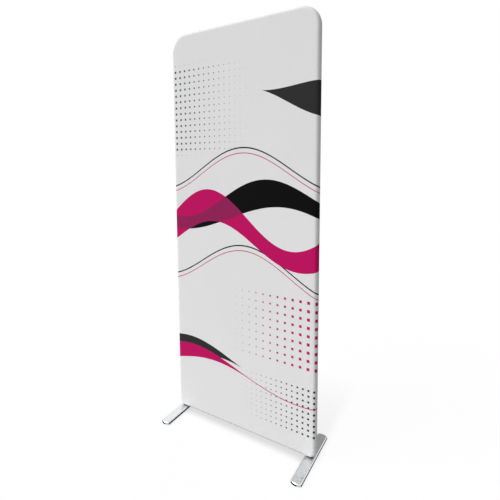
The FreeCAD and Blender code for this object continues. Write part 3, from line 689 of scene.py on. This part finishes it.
def face_grid(side, line, shares, way):
    """The sheet's face between the tubes' axes: its points, their places on the flat cut, and its faces."""
    points, flat, faces = [], [], []
    columns = len(shares)
    for half, z, _ in line:
        for share in shares:
            x = half * share
            out, drawn = beside_zip(x, z) if way else (0.0, 0.0)
            points.append((x, side * (WRAP + tension(x, z) + out), z + way * drawn))
            flat.append((x, z))
    for row in range(len(line) - 1):
        for i in range(columns - 1):
            first = row * columns + i
            faces.append((first, first + 1, first + columns + 1, first + columns))
    return points, flat, faces


def edge_ring(line, columns, above, below):
    """The grid's outer points in order round the frame, each with its outward direction.

    An edge at the zip has no part in it.
    """
    rows = len(line)
    last = columns - 1
    right = [(row * columns + last, line[row][2]) for row in range(rows - 1)]
    left = [(row * columns, math.pi - line[row][2]) for row in range(rows - 1, 0, -1)]
    bottom = [(i, -QUARTER_TURN) for i in range(last)]
    top = [((rows - 1) * columns + i, QUARTER_TURN) for i in range(last, 0, -1)]
    if above and below:
        return bottom + right + top + left
    if above:
        return right + top + left + [(0, math.pi)]
    return left + bottom + right + [(rows * columns - 1, 0.0)]


def lengths_along(points, ring):
    """How far round the frame each point of the ring lies."""
    along, before = 0.0, points[ring[0][0]]
    lengths = []
    for start, _ in ring:
        along += math.dist(points[start], before)
        before = points[start]
        lengths.append(along)
    return lengths


def wrap_edge(points, flat, faces, ring, side, wrap_end, way):
    """Adds the cloth that goes on from the ring, round the tubes to the seam."""
    lengths = lengths_along(points, ring)
    inner = [start for start, _ in ring]
    for angle in wrap_angles(wrap_end):
        outer = []
        for (start, turn), reach in zip(ring, lengths):
            x, _, z = points[start]
            radius = wrap_radius(angle, wrap_end, reach)
            if way:
                radius -= groove(abs(z - ZIP_HEIGHT))
            out = radius * math.sin(angle)
            depth = side * radius * math.cos(angle)
            outer.append(len(points))
            points.append((x + out * math.cos(turn), depth, z + out * math.sin(turn)))
            flat.append((x + angle * WRAP * math.cos(turn), z + angle * WRAP * math.sin(turn)))
        for i in range(len(ring) - abs(way)):
            after = (i + 1) % len(ring)
            faces.append((inner[after], inner[i], outer[i], outer[after]))
        inner = outer


def cover_sheet(name, side, line, shares, wrap_end, material, above=True, below=True):
    """A sheet over a face of the frame, wrapped round the tubes to the seam. The zip parts the back."""
    way = above - below
    points, flat, faces = face_grid(side, line, shares, way)
    ring = edge_ring(line, len(shares), above, below)
    wrap_edge(points, flat, faces, ring, side, wrap_end, way)
    if side == BACK_SIDE:
        faces = [face[::-1] for face in faces]
    piece = new_piece(name, points, faces, material)
    lay_flat(piece, flat)
    return piece


def thicken(piece):
    """Gives a sheet its thickness, inwards from its outer face."""
    modifier = piece.modifiers.new("thickness", "SOLIDIFY")
    modifier.thickness = CLOTH_THICKNESS
    modifier.offset = -1


def add_loft(points, faces, rings):
    """Adds a closed skin over rings of points, with a flat cap at each end."""
    start, count = len(points), len(rings[0])
    for ring in rings:
        points.extend(ring)
    for row in range(len(rings) - 1):
        for i in range(count):
            first = start + row * count + i
            after = start + row * count + (i + 1) % count
            faces.append((first, after, after + count, first + count))
    faces.append(tuple(range(start + count - 1, start - 1, -1)))
    faces.append(tuple(range(start + (len(rings) - 1) * count, start + len(rings) * count)))


# A thread from end to end: share of its half length, girth, and height over its seat in radii
STITCH_SHAPE = (
    (-1.0, 0.35, -1.0), (-0.72, 0.85, -0.15), (0.0, 1.0, 0.1), (0.72, 0.85, -0.15), (1.0, 0.35, -1.0))
STITCH_PITCH = 3.5 * MM
STITCH_HALF = 1.35 * MM
STITCH_RADIUS = 0.28 * MM
STITCH_SEAT_SHARE = 0.45
STITCH_FROM_LIP = 5 * MM
TACK_SHAPE = (
    (-1.0, 0.4, -1.6), (-0.94, 0.85, 0.1), (-0.8, 1.0, 0.5), (-0.4, 1.0, 0.1), (0.0, 1.0, -0.1),
    (0.4, 1.0, 0.1), (0.8, 1.0, 0.5), (0.94, 0.85, 0.1), (1.0, 0.4, -1.6))
TACK_THREADS = 11
TACK_PITCH = 0.6 * MM
TACK_RADIUS = 0.36 * MM
TACK_HALF = 7.4 * MM
TACK_FROM_STOP = 0.5 * MM
THREAD_SIDES = 6
THREAD_TURNS = [FULL_TURN * i / THREAD_SIDES for i in range(THREAD_SIDES)]


def stitch_row(name, way, thread):
    """A row of stitches along the hem, whose ends dive into the cloth."""
    points, faces = [], []
    height = ZIP_HEIGHT + way * (LIP_HALF_GAP + STITCH_FROM_LIP)
    seat = ZIP_HEIGHT + way * before_drawn(STITCH_FROM_LIP)
    count = int(2 * ZIP_HALF_LENGTH / STITCH_PITCH)
    for k in range(count):
        middle = (k - (count - 1) / 2) * STITCH_PITCH
        rings = []
        for share, girth, lift in STITCH_SHAPE:
            x = middle + share * STITCH_HALF
            y = WRAP + beside_zip(x, seat)[0] + STITCH_RADIUS * (STITCH_SEAT_SHARE + lift)
            radius = STITCH_RADIUS * girth
            rings.append([(x, y + radius * math.cos(turn), height + radius * math.sin(turn))
                          for turn in THREAD_TURNS])
        add_loft(points, faces, rings)
    return new_piece(name, points, faces, thread)


def bar_tacks(name, thread):
    """The blocks of close stitches that fasten the hems to each other past the zip's stops."""
    points, faces = [], []
    stop_low, stop_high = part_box("zip_stops")
    right = stop_high.x + TACK_FROM_STOP
    left = stop_low.x - TACK_FROM_STOP - LIP_OVERHANG
    for start, way in ((right, 1), (left, -1)):
        for k in range(TACK_THREADS):
            x = start + way * (k + 0.5) * TACK_PITCH
            half = TACK_HALF + k % 2 * TACK_PITCH
            seat = WRAP + beside_zip(x, ZIP_HEIGHT + before_drawn(half - LIP_HALF_GAP))[0]
            rings = []
            for share, girth, lift in TACK_SHAPE:
                y = seat + TACK_RADIUS * lift
                z = ZIP_HEIGHT + share * half
                radius = TACK_RADIUS * girth
                rings.append([(x + radius * math.cos(turn), y + radius * math.sin(turn), z)
                              for turn in THREAD_TURNS])
            add_loft(points, faces, rings)
    return new_piece(name, points, faces, thread)


# A tooth from root to head, in millimetres: way from the row's outer edge, half width and half depth
TOOTH_SHAPE = (
    (-0.8, 0.80, 0.95), (0.5, 0.95, 1.2), (1.7, 0.52, 1.2),
    (2.7, 0.50, 1.1), (3.7, 0.58, 1.0), (4.3, 0.30, 0.6))
TOOTH_SECTION_SHARES = (
    (1, 0.55), (0.6, 1), (-0.6, 1), (-1, 0.55), (-1, -0.55), (-0.6, -1), (0.6, -1), (1, -0.55))
TOOTH_PITCH = 2.7 * MM
UPPER_START_SHARE = 0.75
LOWER_START_SHARE = 1.25


def teeth_row(name, node, way, start_share, plastic):
    """The row of moulded teeth on one tape, which reach between those of the other."""
    low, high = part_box(node)
    edge = high.z if way > 0 else low.z
    depth = (low.y + high.y) / 2
    points, faces = [], []
    count = int((high.x - low.x) / TOOTH_PITCH) - 1
    for k in range(count):
        x = low.x + (k + start_share) * TOOTH_PITCH
        rings = []
        for reach, half_width, half_depth in TOOTH_SHAPE:
            z = edge - way * reach * MM
            rings.append([(x + way * a * half_width * MM, depth + b * half_depth * MM, z)
                          for a, b in TOOTH_SECTION_SHARES])
        add_loft(points, faces, rings)
    row = new_piece(name, points, faces, plastic)
    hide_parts(node)
    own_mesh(row)


# Light, floor and camera

WHITE = (1, 1, 1, 1)
WORLD_LIGHT = 0.36
KEY_STRENGTH = 3.45
KEY_TURN = math.radians(44)
KEY_HEIGHT = math.radians(45)
FILL_STRENGTH = 1.65
FILL_TURN = math.radians(160)
FILL_HEIGHT = math.radians(20)
SUN_SPREAD = math.radians(35)

# The floor: what it throws back on the stand, how much cast shadow it shows, how white it looks, its reach
FLOOR_BOUNCE = (0.45, 0.45, 0.45, 1)
FLOOR_SHADE = (0.02, 0.02, 0.02, 1)
FLOOR_GLOW = 0.97
FLOOR_HALF_SIZE = 6.0
FLOOR_FADE = (1.6, 4.5)

# The floor's contact shadow, weaker at the feet, and the soft shadow behind the panel
CONTACT_REACH = 0.048
CONTACT_OPEN_SHARES = (0.48, 0.92)
CONTACT_DEPTH_SHARE = 0.305
CONTACT_SIDES = (0.335, 0.365)
FOOT_CONTACT_SHARE = 0.35
SHADOW_DEPTH_SHARE = 0.14
SHADOW_REACH = 0.73
SHADOW_RISE = 0.04
SHADOW_SIDES = (0.36, 0.425)

CARD_LEFT = -1.7
CARD_RIGHT = 1.2
CARD_DEPTH = 2.6
CARD_BOTTOM = 1.0
CARD_TOP = 4.6
CARD_GREY = 0.32


def seen_rays(tree):
    """One for rays that show the background: camera, glossy and transmission rays."""
    path = tree.nodes.new("ShaderNodeLightPath")
    seen = Term(tree, path.outputs["Is Camera Ray"])
    seen = seen.either(Term(tree, path.outputs["Is Glossy Ray"]))
    return seen.either(Term(tree, path.outputs["Is Transmission Ray"]))


def mixed_shader(tree, share, first, second):
    """A shader that goes from first to second as share goes from 0 to 1."""
    node = tree.nodes.new("ShaderNodeMixShader")
    tree.links.new(share.socket, node.inputs[0])
    tree.links.new(first.outputs[0], node.inputs[1])
    tree.links.new(second.outputs[0], node.inputs[2])
    return node


def light_world():
    """Even light from all round, which rays that show the background see as white."""
    world = bpy.data.worlds.new("studio")
    bpy.context.scene.world = world
    world.use_nodes = True
    tree = world.node_tree
    light = tree.nodes["Background"]
    light.inputs["Color"].default_value = WHITE
    light.inputs["Strength"].default_value = WORLD_LIGHT
    white = tree.nodes.new("ShaderNodeBackground")
    white.inputs["Color"].default_value = WHITE
    white.inputs["Strength"].default_value = 1.0
    both = mixed_shader(tree, seen_rays(tree), light, white)
    tree.links.new(both.outputs[0], tree.nodes["World Output"].inputs["Surface"])


def stage_material(name):
    """A material without a shader, its node tree and the socket for its surface."""
    material = bpy.data.materials.new(name)
    material.use_nodes = True
    tree = material.node_tree
    tree.nodes.clear()
    return material, tree, tree.nodes.new("ShaderNodeOutputMaterial").inputs["Surface"]


def stage_sheet(name, corners, material):
    """A flat sheet that is no part of the stand."""
    mesh = bpy.data.meshes.new(name)
    mesh.from_pydata(corners, [], [(0, 1, 2, 3)])
    mesh.materials.append(material)
    sheet = bpy.data.objects.new(name, mesh)
    bpy.context.scene.collection.objects.link(sheet)
    return sheet


def floor_shadow(tree, x, y):
    """The share of its glow that the floor loses close to the stand and behind it."""
    contact = tree.nodes.new("ShaderNodeAmbientOcclusion")
    contact.inputs["Distance"].default_value = CONTACT_REACH
    opened = Term(tree, contact.outputs["AO"])
    closed = opened.ramp(*CONTACT_OPEN_SHARES, CONTACT_DEPTH_SHARE, 0.0, smooth=False)
    under_panel = x.size().ramp(*CONTACT_SIDES, 1.0, FOOT_CONTACT_SHARE)
    behind_panel = y.ramp(0.0, SHADOW_RISE) * x.size().ramp(*SHADOW_SIDES, 1.0, 0.0)
    behind = y.ramp(0.0, SHADOW_REACH, SHADOW_DEPTH_SHARE, 0.0, smooth=False)
    return closed * under_panel + behind * behind_panel


def lay_floor():
    """A pale floor that keeps the soft shadow and fades into the background."""
    material, tree, surface = stage_material("floor")
    x, y, _ = axes(tree, own(tree, "Object"))
    bounce = tree.nodes.new("ShaderNodeBsdfDiffuse")
    bounce.inputs["Color"].default_value = FLOOR_BOUNCE
    shaded = tree.nodes.new("ShaderNodeBsdfDiffuse")
    shaded.inputs["Color"].default_value = FLOOR_SHADE
    glow = tree.nodes.new("ShaderNodeEmission")
    feed(tree, floor_shadow(tree, x, y) * -FLOOR_GLOW + FLOOR_GLOW, glow.inputs["Strength"])
    pale = tree.nodes.new("ShaderNodeAddShader")
    tree.links.new(shaded.outputs[0], pale.inputs[0])
    tree.links.new(glow.outputs[0], pale.inputs[1])
    lit = mixed_shader(tree, seen_rays(tree), bounce, pale)
    clear = tree.nodes.new("ShaderNodeBsdfTransparent")
    away = (x * x + y * y).maths("SQRT")
    faded = mixed_shader(tree, away.ramp(*FLOOR_FADE), lit, clear)
    tree.links.new(faded.outputs[0], surface)
    half = FLOOR_HALF_SIZE
    stage_sheet("floor", [(-half, -half, 0), (half, -half, 0), (half, half, 0), (-half, half, 0)], material)


def stand_card():
    """A grey card behind the stand that shows only in reflections."""
    material, tree, surface = stage_material("card")
    glow = tree.nodes.new("ShaderNodeEmission")
    glow.inputs["Strength"].default_value = CARD_GREY
    tree.links.new(glow.outputs[0], surface)
    sides = (CARD_LEFT, CARD_RIGHT)
    low = [(x, CARD_DEPTH, CARD_BOTTOM) for x in sides]
    high = [(x, CARD_DEPTH, CARD_TOP) for x in reversed(sides)]
    card = stage_sheet("card", low + high, material)
    card.visible_camera = False
    card.visible_diffuse = False
    card.visible_transmission = False
    card.visible_shadow = False


def hang_sun(name, strength, turn, height):
    """A broad soft light. It travels along turn, seen from above, and comes down from a height angle."""
    lamp = bpy.data.lights.new(name, "SUN")
    lamp.energy = strength
    lamp.angle = SUN_SPREAD
    sun = bpy.data.objects.new(name, lamp)
    level = math.cos(height)
    towards = Vector((math.sin(turn) * level, math.cos(turn) * level, -math.sin(height)))
    sun.rotation_mode = "QUATERNION"
    sun.rotation_quaternion = towards.to_track_quat("-Z", "Y")
    bpy.context.scene.collection.objects.link(sun)
    return sun


# The camera, as the photograph's perspective gives it, with its shift held at a tenth of the picture
CAMERA_PLACE = Vector((0.9532, -1.4964, 1.3454))
CAMERA_YAW = 0.5407
CAMERA_PITCH = 0.0945
CAMERA_ROLL = 0.0052
IMAGE_SIZE = 500
FOCAL_PIXELS = 371.50
VIEW_AXIS_PIXEL = 199.9
SENSOR = 36


def set_camera():
    """The camera that takes the photograph's view."""
    sin_yaw, cos_yaw = math.sin(CAMERA_YAW), math.cos(CAMERA_YAW)
    sin_pitch, cos_pitch = math.sin(CAMERA_PITCH), math.cos(CAMERA_PITCH)
    sin_roll, cos_roll = math.sin(CAMERA_ROLL), math.cos(CAMERA_ROLL)
    ahead = Vector((-sin_yaw * cos_pitch, cos_yaw * cos_pitch, -sin_pitch))
    level = Vector((cos_yaw, sin_yaw, 0))
    plumb = level.cross(ahead)
    right = level * cos_roll - plumb * sin_roll
    up = plumb * cos_roll + level * sin_roll
    lens = bpy.data.cameras.new("camera")
    lens.sensor_width = SENSOR
    lens.lens = FOCAL_PIXELS / IMAGE_SIZE * SENSOR
    lens.shift_y = (VIEW_AXIS_PIXEL - IMAGE_SIZE / 2) / IMAGE_SIZE
    camera = bpy.data.objects.new("camera", lens)
    bpy.context.scene.collection.objects.link(camera)
    camera.matrix_world = Matrix((
        (right.x, up.x, -ahead.x, CAMERA_PLACE.x),
        (right.y, up.y, -ahead.y, CAMERA_PLACE.y),
        (right.z, up.z, -ahead.z, CAMERA_PLACE.z),
        (0, 0, 0, 1)))
    bpy.context.scene.camera = camera


# The build

# Finishes by slot: colour, roughness and grain scale
TUBE = ((0.75, 0.76, 0.77), 0.35)
TUBE_GRAIN = 200
METALS = {
    "zinc_steel": ((0.62, 0.63, 0.65), 0.30, 260),
    "insert_brass": ((0.70, 0.52, 0.22), 0.28, 260),
    "zip_metal": ((0.55, 0.55, 0.56), 0.28, 300),
    "spring_steel": ((0.48, 0.48, 0.50), 0.25, 300),
    "cast_alloy": ((0.45, 0.45, 0.46), 0.5, 500),
    "tube_aluminium": (*TUBE, TUBE_GRAIN),
}
MOULDINGS = {
    "foot_rubber": ((0.012, 0.012, 0.012), 0.75, 900),
    "spacer_nylon": ((0.09, 0.09, 0.092), 0.5, 700),
    "zip_plastic": ((0.45, 0.45, 0.46), 0.45, 800),
}
THREAD = ((0.60, 0.60, 0.605), 0.6, 1500)
TEETH_PLASTIC = ((0.42, 0.42, 0.43), 0.42, 900)
TAPE_GREY = (0.55, 0.55, 0.56)

# Straight tubes have lines from drawing along them
DRAWN_GRAIN = 700
DRAWN_SHARE = 0.01
UPRIGHT_NODES = ("left_lower_upright", "left_upper_upright", "right_lower_upright", "right_upper_upright")


def dress_nodes():
    """Gives every node that stays its finish."""
    finishes = {slot: metal(slot, *look) for slot, look in METALS.items()}
    finishes.update({slot: moulded(slot, *look) for slot, look in MOULDINGS.items()})
    finishes["polished_foot"] = polished_foot()
    finishes["zip_tape"] = woven("zip_tape", TAPE_GREY)
    drawn_upright = metal("drawn_upright", *TUBE, DRAWN_GRAIN, stretch=(1, 1, DRAWN_SHARE))
    drawn_tubes = dict.fromkeys(UPRIGHT_NODES, drawn_upright)
    drawn_tubes["bottom_rail"] = metal("drawn_rail", *TUBE, DRAWN_GRAIN, stretch=(DRAWN_SHARE, 1, 1))
    for name, node in frame["nodes"].items():
        slot = node.data.materials[0].name
        finish = drawn_tubes.get(name, finishes.get(slot))
        if finish:
            node.data.materials[0] = finish


def cut_area(width, length, *corners):
    """The flat area of a cut whose corners are rounded to these radii."""
    return width * length - sum((1 - math.pi / 4) * radius ** 2 for radius in corners)


def make_cover():
    """The cover: a printed front that wraps round the tubes, and a plain back in two at the zip."""
    printed = cloth("printed_fabric", print_front)
    plain = cloth("plain_fabric", plain_back)
    thread = moulded("thread", *THREAD)
    whole = bottom_bend() + upright(BEND_LOW, BEND_HIGH) + top_bend()
    rows = [distance * MM for distance, _ in HEM_SHAPE]
    upper = [(AXIS_HALF_WIDTH, ZIP_HEIGHT + row, 0.0) for row in rows]
    upper += upright(ZIP_HEIGHT + rows[-1], BEND_HIGH) + top_bend()
    lower = bottom_bend() + [(AXIS_HALF_WIDTH, ZIP_HEIGHT - row, 0.0) for row in reversed(rows)]
    fine = sorted(EVEN_COLUMNS + END_COLUMNS)
    front = cover_sheet(
        "cover_front", FRONT_SIDE, whole, EVEN_COLUMNS, FRONT_WRAP_ANGLE, printed)
    back = cover_sheet(
        "cover_back", BACK_SIDE, upper, fine, BACK_WRAP_ANGLE, plain, below=False)
    flap = cover_sheet(
        "cover_flap", BACK_SIDE, lower, fine, BACK_WRAP_ANGLE, plain, above=False)
    for piece, node in ((front, "front_panel"), (back, "back_panel"), (flap, "bottom_flap")):
        thicken(piece)
        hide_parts(node)
    upper_stitches = stitch_row("zip_stitches_upper", 1, thread)
    lower_stitches = stitch_row("zip_stitches_lower", -1, thread)
    tacks = bar_tacks("zip_tacks", thread)
    front_arc = WRAP * FRONT_WRAP_ANGLE
    back_arc = WRAP * BACK_WRAP_ANGLE
    front_cut = (2 * (AXIS_HALF_WIDTH + front_arc), AXIS_TOP - AXIS_BOTTOM + 2 * front_arc)
    back_cut = (2 * (AXIS_HALF_WIDTH + back_arc), AXIS_TOP - ZIP_HEIGHT + back_arc)
    flap_cut = (2 * (AXIS_HALF_WIDTH + back_arc), ZIP_HEIGHT - AXIS_BOTTOM + back_arc)
    front_corners = [TOP_BEND + front_arc] * 2 + [BOTTOM_BEND + front_arc] * 2
    cut_area(*front_cut, *front_corners)
    cut_area(*back_cut, *[TOP_BEND + back_arc] * 2)
    cut_area(*flap_cut, *[BOTTOM_BEND + back_arc] * 2)


def make_teeth():
    """The zip's two rows of teeth."""
    plastic = moulded("zip_plastic_teeth", *TEETH_PLASTIC)
    teeth_row("teeth_upper", "zip_upper_teeth", 1, UPPER_START_SHARE, plastic)
    teeth_row("teeth_lower", "zip_lower_teeth", -1, LOWER_START_SHARE, plastic)


def make_springs():
    """Each hairpin spring as a piece of its own."""
    ending = "_button_press"
    for joint in frame["joints"]:
        if not joint["name"].endswith(ending):
            continue
        stem = joint["name"].removesuffix(ending)
        node = stem + "_spring"
        spring = bpy.data.objects.new(stem + "_leaf", frame["nodes"][node].data.copy())
        bpy.context.scene.collection.objects.link(spring)
        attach(spring, "frame")
        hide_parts(node)
        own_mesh(spring)


def main():
    """Dresses the stand, lights it and takes the photograph's view."""
    bpy.context.scene.view_settings.view_transform = "Standard"
    dress_nodes()
    make_cover()
    make_teeth()
    make_springs()
    light_world()
    lay_floor()
    stand_card()
    hang_sun("key", KEY_STRENGTH, KEY_TURN, KEY_HEIGHT)
    fill = hang_sun("fill", FILL_STRENGTH, FILL_TURN, FILL_HEIGHT)
    fill.visible_glossy = False
    set_camera()


main()
